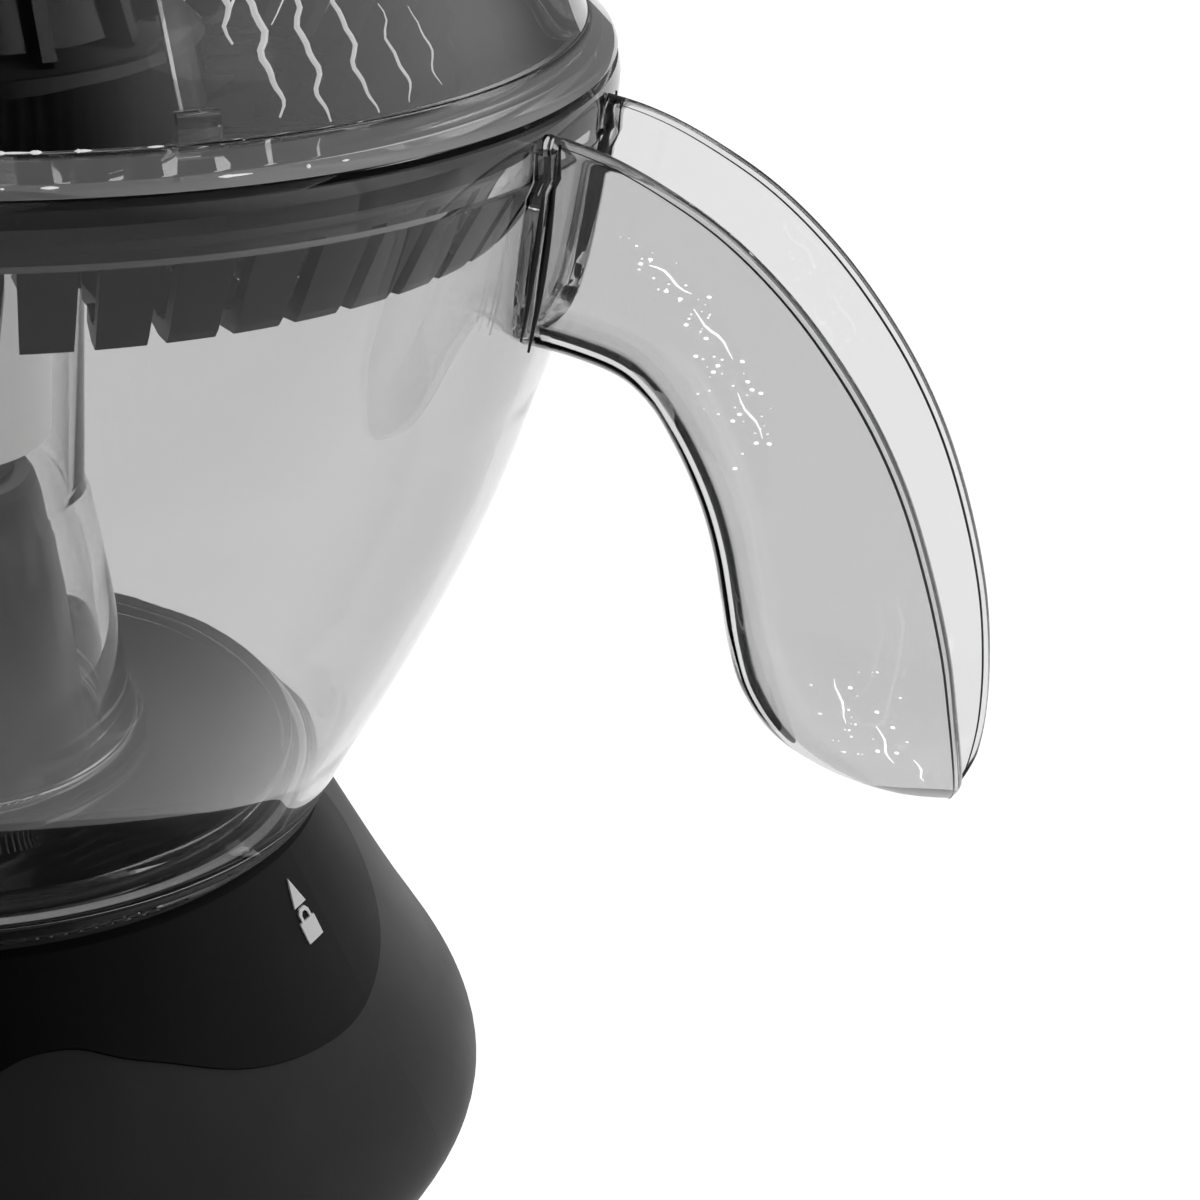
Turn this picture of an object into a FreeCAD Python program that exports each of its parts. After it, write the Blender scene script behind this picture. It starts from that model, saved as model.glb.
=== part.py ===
import FreeCAD
import Part
import math
import os

V = FreeCAD.Vector

# Citrus press juicer. Millimetres. The origin is on the drive axis, at the flat underside of
# the bottom plate. +Z is up and the jug's handle points along +X.

# Overall sizes
RIM_R = 75.4            # outside of the jug's rim collar
DECK_Z = 53.0           # top of the motor base
APRON_TURN = -47.0      # middle of the front apron, degrees round from the handle
MARK_TURN = -4.0        # lock mark, degrees round from the handle
BOSS_Z = 55.6           # top of the deck's boss
PANEL_EDGE = 24.5       # from the axis to the gloss panel's straight edge
PANEL_TURN = -50.0      # middle of the deck's gloss panel
CORD_TURN = 180.0       # mains lead inlet, opposite the handle
COVER_RIB_TURN = -39.5  # first of the four ribs inside the cover
SLOT_COUNT = 60         # slots round the strainer
SHAFT_R = 4.0
SHAFT_FLAT = 3.2        # from the axis to each of the shaft's two flats

# Gear train: rotor pinion to idler wheel, idler pinion to output wheel
MODULE_A = 0.8
MODULE_B = 1.0
PINION_TEETH = 14
WHEEL_TEETH = 42
ROTOR_AT = (-10.0, 29.0)

SHELL = 2.5             # wall of the housing
JUG_WALL = 2.0
HOUSING_PROFILE = [(57.5, 0.0), (61.6, 4.6), (64.6, 9.4), (66.4, 13.9), (65.9, 17.0),
                   (63.9, 21.2), (59.7, 27.6), (55.6, 34.1), (51.0, 41.8), (45.4, 51.2)]
JUG_PROFILE = [(74.85, 137.6), (74.3, 132.0), (73.4, 125.0), (72.1, 118.0), (70.6, 111.8),
               (69.0, 106.7), (67.6, 101.8), (66.2, 97.1), (64.7, 92.7), (62.9, 88.0),
               (60.9, 83.3), (58.6, 78.2), (56.1, 72.9), (53.6, 67.8), (50.9, 62.6), (46.5, 53.6)]


def revolve(points):
    """Solid swept round the drive axis from a closed outline of (radius, height) points."""
    path = [V(r, 0, z) for r, z in points + points[:1]]
    return Part.Face(Part.makePolygon(path)).revolve(V(0, 0, 0), V(0, 0, 1), 360)


def revolve_curves(*stretches):
    """As revolve, but every stretch given as a tuple of points is one smooth curve."""
    edges = []
    for stretch in stretches:
        points = [V(r, 0, z) for r, z in stretch]
        if edges:
            edges.append(Part.makeLine(here, points[0]))
        else:
            first = points[0]
        if isinstance(stretch, tuple):
            spline = Part.BSplineCurve()
            spline.interpolate(points)
            edges.append(spline.toShape())
        else:
            edges += [Part.makeLine(a, b) for a, b in zip(points[:-1], points[1:])]
        here = points[-1]
    edges.append(Part.makeLine(here, first))
    return Part.Face(Part.Wire(edges)).revolve(V(0, 0, 0), V(0, 0, 1), 360)


def cylinder(radius, low, high, x=0.0, y=0.0):
    return Part.makeCylinder(radius, high - low, V(x, y, low))


def tube(inner, outer, low, high, x=0.0, y=0.0):
    return cylinder(outer, low, high, x, y).cut(cylinder(inner, low - 1, high + 1, x, y))


def box(x0, x1, y0, y1, z0, z1):
    return Part.makeBox(x1 - x0, y1 - y0, z1 - z0, V(x0, y0, z0))


def turned(shape, degrees, x=0.0, y=0.0):
    copy = shape.copy()
    copy.rotate(V(x, y, 0), V(0, 0, 1), degrees)
    return copy


def around(radius, count, start=0.0):
    """Points spaced evenly on a circle, with their angles."""
    for k in range(count):
        a = start + 360.0 * k / count
        yield radius * math.cos(math.radians(a)), radius * math.sin(math.radians(a)), a


def fuse(shapes):
    whole = shapes[0].fuse(shapes[1:]) if len(shapes) > 1 else shapes[0]
    return whole.removeSplitter()


def prism(points, low, high):
    """Upright solid over an outline of (x, y) points."""
    path = [V(x, y, low) for x, y in points]
    path.append(path[0])
    return Part.Face(Part.makePolygon(path)).extrude(V(0, 0, high - low))


def gear(teeth, module, low, high, x, y, first_tooth):
    """Spur gear with involute flanks, thinned a little so the mesh has backlash."""
    pitch_r = module * teeth / 2
    base_r = pitch_r * math.cos(math.radians(20))
    root_r = pitch_r - 1.25 * module
    tip_r = pitch_r + 0.95 * module
    pressure = math.tan(math.radians(20)) - math.radians(20)
    half = math.pi / (2 * teeth) - 0.12 / pitch_r

    def flank(radius):
        """Half angle of a tooth at a radius."""
        if radius <= base_r:
            return half + pressure
        roll = math.sqrt((radius / base_r) ** 2 - 1)
        return half + pressure - (roll - math.atan(roll))

    radii = [root_r, max(base_r, root_r + 0.05), pitch_r, tip_r]
    points = []
    for k in range(teeth):
        middle = math.radians(first_tooth) + 2 * math.pi * k / teeth
        for side, order in ((-1, radii), (1, radii[::-1])):
            for radius in order:
                a = middle + side * flank(radius)
                points.append((x + radius * math.cos(a), y + radius * math.sin(a)))
    return prism(points, low, high)


def d_section(clearance, low, high):
    """The drive shaft's section: a round bar with two flats."""
    flat = SHAFT_FLAT + clearance
    bar = cylinder(SHAFT_R + clearance, low, high)
    return bar.common(box(-flat, flat, -20, 20, low, high))


# Gear positions. The idler stands where both pitch distances meet.
idler_reach = MODULE_B * (PINION_TEETH + WHEEL_TEETH) / 2
rotor_reach = MODULE_A * (PINION_TEETH + WHEEL_TEETH) / 2
rotor_x, rotor_y = ROTOR_AT
rotor_r = math.hypot(rotor_x, rotor_y)
rotor_turn = math.degrees(math.atan2(rotor_y, rotor_x))
between = (idler_reach ** 2 + rotor_r ** 2 - rotor_reach ** 2) / (2 * idler_reach * rotor_r)
idler_turn = rotor_turn + math.degrees(math.acos(between))
idler_x = idler_reach * math.cos(math.radians(idler_turn))
idler_y = idler_reach * math.sin(math.radians(idler_turn))
mesh_turn = math.degrees(math.atan2(rotor_y - idler_y, rotor_x - idler_x))

parts = {}

# Housing: a turned shell open at the bottom, with a seat for the deck at its top
inner = [(r - SHELL, z) for r, z in HOUSING_PROFILE]
inner[0] = (55.2, 0.0)
seat = [(44.6, DECK_Z), (43.3, DECK_Z), (43.3, DECK_Z - 3.2), (41.0, DECK_Z - 3.2),
        (41.0, DECK_Z - 5.0)]
shell = revolve_curves(tuple(HOUSING_PROFILE), seat + inner[-1:])
shell = shell.cut(revolve([(0, -1), (55.2, -1)] + inner[:-1] + [(43.4, 48.4), (0, 48.4)]))
posts = [cylinder(4.2, 2.6, 38.0, x, y) for x, y, a in around(49.5, 3, 13.0)]
skin = revolve([(0, 0)] + HOUSING_PROFILE + [(0, 51.2)])
posts = [p.common(skin) for p in posts]
housing = fuse([shell] + posts)
for x, y, a in around(49.5, 3, 13.0):
    housing = housing.cut(cylinder(1.3, 2.0, 22.0, x, y))
cord_hole = cylinder(4.6, 40, 80)
cord_hole.rotate(V(0, 0, 0), V(0, 1, 0), 90)
cord_hole.translate(V(0, 0, 12.0))
cord_hole = turned(cord_hole, CORD_TURN)
housing = housing.cut(cord_hole)

# Front apron: a skin over the housing's front with a wavy lower edge, in a shallow rebate
APRON_EDGE = [(0, 42.6), (4, 42.2), (8, 40.8), (14, 39.0), (22, 36.2), (31, 34.2), (38, 33.4),
              (45, 33.3), (53, 34.7), (61, 37.2), (66, 40.6), (68.5, 45.2), (68, 48.6),
              (66.5, 52.0)]


def outward(offset):
    """The housing's outline moved outwards square to its surface."""
    moved = []
    for i, (r, z) in enumerate(HOUSING_PROFILE):
        before = HOUSING_PROFILE[max(i - 1, 0)]
        after = HOUSING_PROFILE[min(i + 1, len(HOUSING_PROFILE) - 1)]
        dr, dz = after[0] - before[0], after[1] - before[1]
        length = math.hypot(dr, dz)
        moved.append((r + offset * dz / length, z - offset * dr / length))
    return moved


def apron_cutter(margin):
    """Solid above the apron's wavy lower edge and between its two ends."""
    rim = [(-a, z) for a, z in APRON_EDGE[:0:-1]] + APRON_EDGE
    edges = []
    for radius in (36.0, 80.0):
        row = []
        for a, z in rim:
            turn = math.radians(a * (1 + margin / 60.0))
            row.append(V(radius * math.cos(turn), radius * math.sin(turn), z - margin))
        curve = Part.BSplineCurve()
        curve.interpolate(row)
        edges.append(Part.Wire([curve.toShape()]))
    return Part.makeRuledSurface(edges[0], edges[1]).extrude(V(0, 0, 30))


def band_between(low_offset, high_offset):
    outer, inside = outward(high_offset), outward(low_offset)
    ring = outer[4:] + [(outer[-1][0] - 1.2, DECK_Z - 0.6), (inside[-1][0] - 1.2, DECK_Z - 0.9)]
    return revolve(ring + inside[:3:-1])


apron = band_between(-0.5, 0.45).common(turned(apron_cutter(0.0), APRON_TURN))
rebate = band_between(-0.5, 6.0).common(turned(apron_cutter(0.35), APRON_TURN))
housing = housing.cut(rebate).cut(apron)
parts["base_housing"] = housing
parts["front_apron"] = apron


# Lock mark: an index triangle with a closed padlock under it, raised a hair above the apron
def mark_solid(outline):
    """Bar pointing outwards whose section is an outline of (across, up) points."""
    return Part.Face(Part.makePolygon([V(40, u, z) for u, z in outline + outline[:1]])).extrude(V(30, 0, 0))


def arch(half, low, high, corner):
    """Outline with a flat foot and two cut-off upper corners."""
    return [(-half, low), (half, low), (half, high - corner), (half - corner, high),
            (corner - half, high), (-half, high - corner)]


triangle = mark_solid([(-1.3, 46.4), (1.3, 46.4), (0, 49.3)])
shackle = mark_solid(arch(1.1, 44.6, 46.1, 0.5)).cut(mark_solid(arch(0.65, 44.0, 45.7, 0.35)))
padlock = mark_solid(arch(1.6, 42.6, 44.8, 0.1)).fuse(shackle)
film = band_between(0.3, 0.62)
marks = [turned(s, MARK_TURN).common(film).cut(apron) for s in (triangle, padlock)]
parts["lock_marks"] = Part.makeCompound([s for m in marks for s in m.Solids])

# Deck: disc with a low boss that carries three bayonet lugs, and the bell-shaped tower
tower_out = [(19.0, BOSS_Z), (18.4, 58.0), (17.3, 64.0), (16.3, 70.0), (15.2, 76.0), (14.0, 82.0),
             (12.9, 87.0), (12.2, 89.0)]
tower_in = [(r - 1.9, z) for r, z in tower_out[:-1]]
deck = revolve([(43.2, DECK_Z - 3.2), (43.2, DECK_Z), (38.5, DECK_Z), (38.5, BOSS_Z)] + tower_out
               + [(11.4, 90.0), (7.0, 90.0), (7.0, 84.0), (11.6, 84.0)] + tower_in[::-1]
               + [(17.1, DECK_Z - 0.4), (36.5, DECK_Z - 0.4), (36.5, DECK_Z - 3.2)])
lug = tube(38.0, 39.9, 54.8, BOSS_Z).common(prism([(0, 0), (60, 12.2), (60, -12.2)], 50, 60))
deck = fuse([deck] + [turned(lug, a) for x, y, a in around(1, 3)])
parts["top_deck"] = deck

# Gloss panel let onto the front of the deck, cut off straight behind
panel = cylinder(38.0, BOSS_Z, BOSS_Z + 0.7).common(box(PANEL_EDGE, 45, -45, 45, 50, 60))
parts["deck_panel"] = turned(panel, PANEL_TURN)

# Bottom plate, feet, screws and the cord inlet bush
plate = cylinder(55.0, 0.0, 2.5).fuse(cylinder(20.0, 2.5, 3.4))
screw_spots = list(around(49.5, 3, 13.0))
foot_spots = list(around(44.0, 4, 58.0))
for x, y, a in screw_spots:
    plate = plate.cut(cylinder(1.7, -1, 4, x, y)).cut(cylinder(3.2, -1, 1.4, x, y))
for x, y, a in foot_spots:
    plate = plate.cut(cylinder(6.1, -1, 1.0, x, y))
vents = [turned(box(24, 38, -0.9, 0.9, -1, 4), 15.0 + 30.0 * k) for k in range(12)]
plate = plate.cut(Part.makeCompound(vents))
parts["base_plate"] = plate.removeSplitter()


def foot(x, y):
    pad = cylinder(6.0, -1.5, 1.0, x, y)
    low = [e for e in pad.Edges if abs(e.BoundBox.ZMax + 1.5) < 1e-6 and e.Length > 10]
    return pad.makeFillet(0.7, low)


def screw(x, y, head_low, head_r, shank_r, top, up=True):
    """Pan-head screw standing on its head, or hanging from it."""
    if up:
        body = cylinder(head_r, head_low, head_low + 1.3, x, y)
        body = body.fuse(cylinder(shank_r, head_low + 1.3, top, x, y))
        cut_low = head_low - 0.1
    else:
        body = cylinder(head_r, head_low, head_low + 1.6, x, y)
        body = body.fuse(cylinder(shank_r, top, head_low, x, y))
        cut_low = head_low + 0.9
    cross = box(x - 1.6, x + 1.6, y - 0.35, y + 0.35, cut_low, cut_low + 0.8)
    return body.cut(cross).cut(turned(cross, 90, x, y)).removeSplitter()


parts["rubber_feet"] = Part.makeCompound([foot(x, y) for x, y, a in foot_spots])
parts["plate_screws"] = Part.makeCompound(
    [screw(x, y, 0.1, 2.9, 1.25, 16.0) for x, y, a in screw_spots])

bush = revolve([(3.0, 56.0), (5.6, 56.0), (5.6, 59.6), (4.5, 59.6), (4.5, 66.5), (6.4, 66.5),
                (6.4, 67.6), (5.4, 68.6), (3.0, 68.6)])
bush.rotate(V(0, 0, 0), V(0, 1, 0), 90)
bush.translate(V(0, 0, 12.0))
parts["cord_inlet"] = turned(bush, CORD_TURN)

# Motor: laminated frame with the rotor bore at one end and the winding round the far leg
frame = box(-27, 27, 11, 47, 6, 20).cut(box(4.5, 14.5, 19, 39, 0, 30))
frame = frame.cut(cylinder(12.0, 0, 30, rotor_x, rotor_y))
frame = frame.cut(box(rotor_x + 10, 6, rotor_y - 1.2, rotor_y + 1.2, 0, 30))
pillar_spots = [(-23.5, 43.5), (23.5, 14.5), (23.5, 43.5)]
for x, y in pillar_spots:
    frame = frame.cut(cylinder(1.8, 0, 30, x, y))
ring_spots = [(rotor_x, rotor_y + 13.4), (rotor_x, rotor_y - 13.4)]
for x, y in ring_spots:
    frame = frame.cut(box(x - 1.6, x + 1.6, y - 1.6, y + 1.6, 0, 30))
parts["motor_stator"] = frame
coil = box(9.0, 33.0, 20.4, 37.6, 3.2, 22.8)
coil = coil.makeFillet(3.0, [e for e in coil.Edges if abs(e.BoundBox.YLength - 17.2) < 1e-6])
flanges = box(8.0, 34.0, 19.2, 20.6, 2.9, 23.4).fuse(box(8.0, 34.0, 37.4, 38.8, 2.9, 23.4))
coil = coil.fuse(flanges).cut(box(14.4, 27.1, 5, 50, 5.9, 20.1))
parts["motor_coil"] = coil.removeSplitter()
parts["shading_rings"] = Part.makeCompound(
    [box(x - 1.5, x + 1.5, y - 1.5, y + 1.5, 5.0, 21.0) for x, y in ring_spots])

bracket = box(rotor_x - 17, rotor_x + 10, rotor_y - 18, rotor_y + 18, 3.4, 4.6)
bracket = bracket.fuse(cylinder(5.0, 3.4, 8.0, rotor_x, rotor_y))
bracket = bracket.fuse(cylinder(3.0, 4.6, 6.0, *pillar_spots[0]))
parts["motor_bracket"] = bracket.cut(cylinder(1.55, 4.4, 9, rotor_x, rotor_y)).removeSplitter()

rotor = cylinder(11.2, 9.0, 18.5, rotor_x, rotor_y).fuse(cylinder(1.5, 4.6, 38.0, rotor_x, rotor_y))
parts["motor_rotor"] = rotor.removeSplitter()
pinion = gear(PINION_TEETH, MODULE_A, 31.8, 37.4, rotor_x, rotor_y, mesh_turn + 180)
pinion = pinion.fuse(cylinder(4.2, 37.4, 38.4, rotor_x, rotor_y))
parts["rotor_pinion"] = pinion.cut(cylinder(1.5, 30, 40, rotor_x, rotor_y)).removeSplitter()

# Gearbox plate on three pillars, its bearings, and the idler's pin
gear_deck = cylinder(50.0, 27.0, 29.0)
for x, y, a in screw_spots:
    gear_deck = gear_deck.cut(cylinder(5.2, 26, 30, x, y))
gear_deck = gear_deck.cut(cylinder(6.5, 26, 30)).cut(cylinder(3.5, 26, 30, rotor_x, rotor_y))
gear_deck = gear_deck.cut(cylinder(1.5, 26, 30, idler_x, idler_y))
for x, y in pillar_spots:
    gear_deck = gear_deck.cut(cylinder(1.7, 26, 30, x, y))
for x, y, a in around(36.0, 3, -100.0):
    gear_deck = gear_deck.cut(cylinder(4.5, 26, 30, x, y))
parts["gearbox_plate"] = gear_deck
parts["gearbox_pillars"] = Part.makeCompound(
    [tube(1.7, 3.0, 20.0, 27.0, x, y) for x, y in pillar_spots])
parts["gearbox_screws"] = Part.makeCompound(
    [screw(x, y, 29.0, 3.0, 1.65, 6.5, up=False) for x, y in pillar_spots])
bearings = [tube(SHAFT_R + 0.06, 6.5, 25.5, 31.0), tube(1.56, 3.5, 25.5, 30.6, rotor_x, rotor_y)]
parts["plate_bearings"] = Part.makeCompound(bearings)
parts["idler_pin"] = cylinder(1.5, 26.2, 46.6, idler_x, idler_y)

idler = gear(WHEEL_TEETH, MODULE_A, 32.0, 37.0, idler_x, idler_y, mesh_turn + 180.0 / WHEEL_TEETH)
idler = idler.fuse(gear(PINION_TEETH, MODULE_B, 37.0, 45.2, idler_x, idler_y,
                        idler_turn + 180 + 180.0 / PINION_TEETH))
idler = idler.fuse(cylinder(3.4, 30.0, 32.0, idler_x, idler_y))
parts["idler_gear"] = idler.cut(cylinder(1.56, 29, 46, idler_x, idler_y)).removeSplitter()

wheel = gear(WHEEL_TEETH, MODULE_B, 38.6, 44.6, 0, 0, idler_turn)
wheel = wheel.cut(revolve([(9.5, 42.6), (18.0, 42.6), (18.0, 46), (9.5, 46)]))
wheel = wheel.fuse(cylinder(8.0, 31.6, 47.4))
parts["output_gear"] = wheel.cut(d_section(0.06, 30, 49)).removeSplitter()

# Drive shaft: round where it runs in bearings, two flats where it carries the gear and sleeve
shaft = cylinder(SHAFT_R, 27.6, 120.0)
for low, high in ((31.0, 59.8), (94.0, 120.0)):
    ring = cylinder(6, low, high).cut(box(-SHAFT_FLAT, SHAFT_FLAT, -20, 20, low, high))
    shaft = shaft.cut(ring)
shaft = shaft.fuse([cylinder(7.4, 59.8, 61.2), cylinder(5.6, 81.6, 83.6)])
shaft = shaft.removeSplitter()
tip = [e for e in shaft.Edges if abs(e.BoundBox.ZMin - 120.0) < 1e-6]
parts["drive_shaft"] = shaft.makeChamfer(0.6, tip)
parts["shaft_bushing"] = tube(SHAFT_R + 0.06, 7.0, 84.0, 90.0)
parts["shaft_seal"] = revolve([(4.2, 90.0), (9.6, 90.0), (9.6, 90.6), (5.6, 91.4), (4.2, 91.4)])

# Return spring between the gear's hub and the shaft's collar
helix = Part.makeHelix(2.6, 10.8, 5.6)
section = Part.Wire(Part.makeCircle(0.5, V(5.6, 0, 0), V(0, 1, 0.07)))
coil_spring = Part.Wire(helix).makePipeShell([section], True, False)
coil_spring.translate(V(0, 0, 48.2))
parts["return_spring"] = coil_spring

# Microswitch under the shaft's end, and the terminal block
switch = box(-12, 8, -3.4, 3.4, 6.4, 17.5)
switch = switch.cut(box(-1.6, 1.6, -1.6, 1.6, 14.0, 18.0))
for x in (-9.0, 5.0):
    switch = switch.cut(Part.makeCylinder(1.2, 10, V(x, -5, 9.5), V(0, 1, 0)))
stand = box(-13, 9, -4.6, 4.6, 3.4, 6.4)
blades = [box(x - 1.2, x + 1.2, 3.4, 8.6, 8.0, 8.6) for x in (-6.0, 0.0)]
parts["switch_body"] = fuse([switch, stand] + blades)
parts["switch_plunger"] = fuse([box(-1.5, 1.5, -1.5, 1.5, 17.0, 24.6), cylinder(2.4, 24.6, 27.2)])
block = box(12, 34, -30, -18, 3.4, 13.0)
for x in (17.5, 28.5):
    block = block.cut(cylinder(2.2, 8.0, 14.0, x, -24))
    block = block.cut(Part.makeCylinder(1.6, 14, V(x, -31, 6.5), V(0, 1, 0)))
block = block.cut(box(22.4, 23.6, -31, -17, 9.5, 14))
pads = tube(0.8, 3.0, 2.5, 3.4, 14.5, -24).fuse(tube(0.8, 3.0, 2.5, 3.4, 31.5, -24))
parts["terminal_block"] = block.fuse(pads).removeSplitter()

# Jug: one clear moulding with floor, centre column, bayonet skirt and pouring lip
inside = tuple([(45.4, 55.4)] + [(r - JUG_WALL, z) for r, z in JUG_PROFILE[-2::-1]])
floor_and_column = [(40.6, 53.6), (40.6, 56.8), (20.8, 56.8), (19.8, 68.0), (18.3, 78.0),
                    (15.8, 87.6), (15.7, 130.0), (17.4, 130.0), (17.6, 89.4), (18.0, 88.0),
                    (20.2, 78.0), (21.9, 68.0), (23.0, 62.0), (24.6, 59.2), (26.4, 58.6),
                    (42.4, 58.6), (42.4, 55.4)]
collar = [(73.3, 139.2), (73.3, 143.8), (74.2, 143.8), (75.0, 143.2), (RIM_R, 142.0), (RIM_R, 138.4)]
jug = revolve_curves(tuple(JUG_PROFILE), floor_and_column, inside, collar)

# Pouring lip, opposite the handle: a hollow wedge leaning out from the rim


def lip_wedge(radius, reach, low, high, half_width):
    """Pointed lip: the hull between a half ring at the rim and a point further out."""
    ends = []
    for half, point, z in ((half_width * 0.2, radius, low), (half_width, reach, high)):
        corners = [V(8 - radius, half, z), V(8 - radius, -half, z), V(-point, 0, z)]
        ends.append(Part.makePolygon(corners + corners[:1]))
    return Part.makeLoft(ends, True, True)


lip_out = lip_wedge(70.6, 85.0, 112.0, 143.8, 24.0)
lip_in = lip_wedge(68.4, 82.4, 112.0, 143.8, 22.0)
lip_in = lip_in.fuse(box(-83.5, -60, -1.4, 1.4, 143.7, 145)).common(box(-83, -40, -30, 30, 113, 146))
bore = revolve_curves(inside, [(73.3, 139.2), (73.3, 145), (0, 145), (0, 55.4)])
jug = jug.fuse(lip_out.cut(bore)).cut(lip_in)
skirt_lug = tube(39.0, 41.0, 53.7, 54.3).common(prism([(0, 0), (60, 11.5), (60, -11.5)], 50, 60))
jug = fuse([jug] + [turned(skirt_lug, a) for x, y, a in around(1, 3)])
parts["jug"] = jug

# Handle: an open channel. Each station gives a point on its rails, the point under it on the
# channel's keel, and half the width there.
HANDLE_STATIONS = [
    ((66.0, 141.8), (64.0, 118.2), 10.5), ((74.5, 141.6), (72.5, 118.4), 10.5),
    ((81.0, 140.4), (78.4, 117.8), 10.5), ((87.5, 137.9), (83.0, 116.6), 10.5),
    ((93.7, 134.6), (86.2, 114.2), 10.5), ((99.7, 130.0), (88.6, 110.9), 10.5),
    ((105.0, 124.6), (90.7, 107.3), 10.5), ((109.9, 118.3), (92.5, 103.4), 10.5),
    ((113.9, 111.4), (93.9, 99.2), 10.5), ((117.2, 103.5), (95.0, 94.6), 10.5),
    ((119.7, 95.6), (96.1, 89.8), 10.2), ((121.1, 88.6), (98.0, 84.9), 9.4),
    ((121.8, 82.8), (101.8, 80.2), 7.6), ((121.8, 79.0), (107.6, 77.0), 5.2),
    ((121.3, 76.6), (114.0, 75.3), 2.6), ((120.7, 75.4), (118.6, 75.1), 0.7)]


def channel_section(rail, keel, half_width, inset, lift):
    """Closed U-shaped outline square to the handle, its wall side rounded like a keel."""
    rx, rz = rail
    kx, kz = keel
    depth = math.hypot(kx - rx, kz - rz)
    ux, uz = (kx - rx) / depth, (kz - rz) / depth
    wide, deep = half_width - inset, depth - inset
    points = []
    for k in range(15):
        a = math.pi * k / 14
        across = wide * math.copysign(abs(math.cos(a)) ** 0.5, math.cos(a))
        down = deep * math.sin(a) ** 0.72
        points.append(V(rx + ux * down, across, rz + uz * down))
    curve = Part.BSplineCurve()
    curve.interpolate(points)
    left, right = points[0], points[-1]
    raised = V(-ux * lift, 0, -uz * lift)
    if lift == 0:
        return Part.Wire([curve.toShape(), Part.makeLine(right, left)])
    edges = [curve.toShape(), Part.makeLine(right, right + raised)]
    edges += [Part.makeLine(right + raised, left + raised), Part.makeLine(left + raised, left)]
    return Part.Wire(edges)


WALL = 1.9
outside = Part.makeLoft(
    [channel_section(r, k, w, 0, 0) for r, k, w in HANDLE_STATIONS], True, False)
hollow = Part.makeLoft(
    [channel_section(r, k, w, WALL, 3.0) for r, k, w in HANDLE_STATIONS if w > 5], True, False)
jug_skin = revolve_curves(tuple(JUG_PROFILE[:6]), [(0, 106.7), (0, 143.2), (75.0, 143.2),
                                                    (RIM_R, 142.0), (RIM_R, 138.4)])
root = revolve([(65.7, 117.3), (74.2, 117.3), (75.2, 121.0), (76.6, 137.6), (76.9, 141.4), (70, 141.4)])
half = [(0, 118.3), (6.4, 119.6), (10.6, 121.0), (12.2, 122.2), (12.6, 124.0), (12.6, 145.0)]
outline = [V(60, y, z) for y, z in half] + [V(60, -y, z) for y, z in half[:0:-1]]
shield = Part.Face(Part.makePolygon(outline + outline[:1])).extrude(V(30, 0, 0))
root = root.common(shield)
grip = outside.fuse(root).cut(hollow.cut(jug_skin)).cut(jug_skin)
grip = max(grip.Solids, key=lambda s: s.Volume)
parts["jug_handle"] = grip.removeSplitter()

# Strainer: banded basket with slots that run down its wall and on under its floor
basket = revolve([(72.9, 142.6), (70.6, 142.6), (70.4, 139.0), (64.8, 129.2), (62.0, 128.6),
                  (21.6, 132.2), (20.2, 135.6), (18.6, 135.6), (18.6, 130.8), (62.4, 126.8),
                  (65.8, 127.2), (66.6, 128.2), (71.9, 138.2), (72.9, 139.6)])
slot_block = box(50.0, 80.0, -0.95, 0.95, 120.0, 137.0)
slot_block.rotate(V(67.5, 0, 0), V(0, 0, 1), -10)
floor_slot = box(36.0, 58.0, -0.7, 0.7, 120.0, 137.0)
slots = [turned(slot_block, a) for x, y, a in around(1, SLOT_COUNT)]
slots += [turned(floor_slot, a + 3.0) for x, y, a in around(1, SLOT_COUNT)]
for x, y, a in around(1, 30, 3.0):
    slots.append(turned(box(25.0, 33.0, -0.7, 0.7, 120.0, 137.0), a))
parts["strainer"] = basket.cut(Part.makeCompound(slots))

# Reamer: skirt dish, ribbed cone and a socket for the sleeve
cone = revolve([(30.4, 136.6), (30.4, 141.4), (29.6, 142.2), (28.6, 141.8), (26.4, 141.4), (23.6, 143.0),
                (21.0, 150.0), (17.4, 159.0), (12.4, 168.6), (7.6, 175.4), (3.6, 179.2), (0, 180.6),
                (0, 177.6), (5.0, 174.6), (10.0, 168.0), (15.4, 158.0), (19.2, 148.0), (21.6, 139.6),
                (28.8, 138.8), (28.8, 136.6)])
rib_side = [(22.0, 141.6), (25.6, 142.4), (23.6, 148.0), (21.4, 154.4), (18.6, 161.4), (15.0, 168.0),
            (10.4, 174.6), (5.4, 179.8), (1.0, 182.4), (1.0, 178.4), (10.0, 169.0), (16.0, 159.0)]
rib_face = Part.Face(Part.makePolygon([V(x, -1.0, z) for x, z in rib_side + rib_side[:1]]))
rib = rib_face.extrude(V(0, 2.0, 0))
crest = prism([(0, -0.15), (0, 0.15), (40, 1.3), (40, -1.3)], 130, 190)
ribs = [turned(rib.common(crest), a) for x, y, a in around(1, 12)]
socket = tube(14.05, 15.6, 134.4, 160.0)
reamer = fuse([cone, socket] + ribs)
parts["reamer"] = reamer

sleeve = revolve([(5.4, 94.6), (13.0, 94.6), (14.0, 95.6), (14.0, 148.0), (5.4, 148.0)])
sleeve = sleeve.cut(revolve([(6.4, 93), (12.0, 93), (12.0, 118), (6.4, 118)]))
sleeve = sleeve.fuse(cylinder(6.0, 95.0, 147.0)).cut(d_section(0.06, 90, 121.0))
for x, y, a in around(9.0, 4, 45.0):
    sleeve = sleeve.cut(cylinder(1.6, 122, 150, x, y))
sleeve = sleeve.fuse([turned(box(5.8, 12.4, -0.6, 0.6, 96, 118), a) for x, y, a in around(1, 4)])
parts["drive_sleeve"] = sleeve.removeSplitter()

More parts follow.
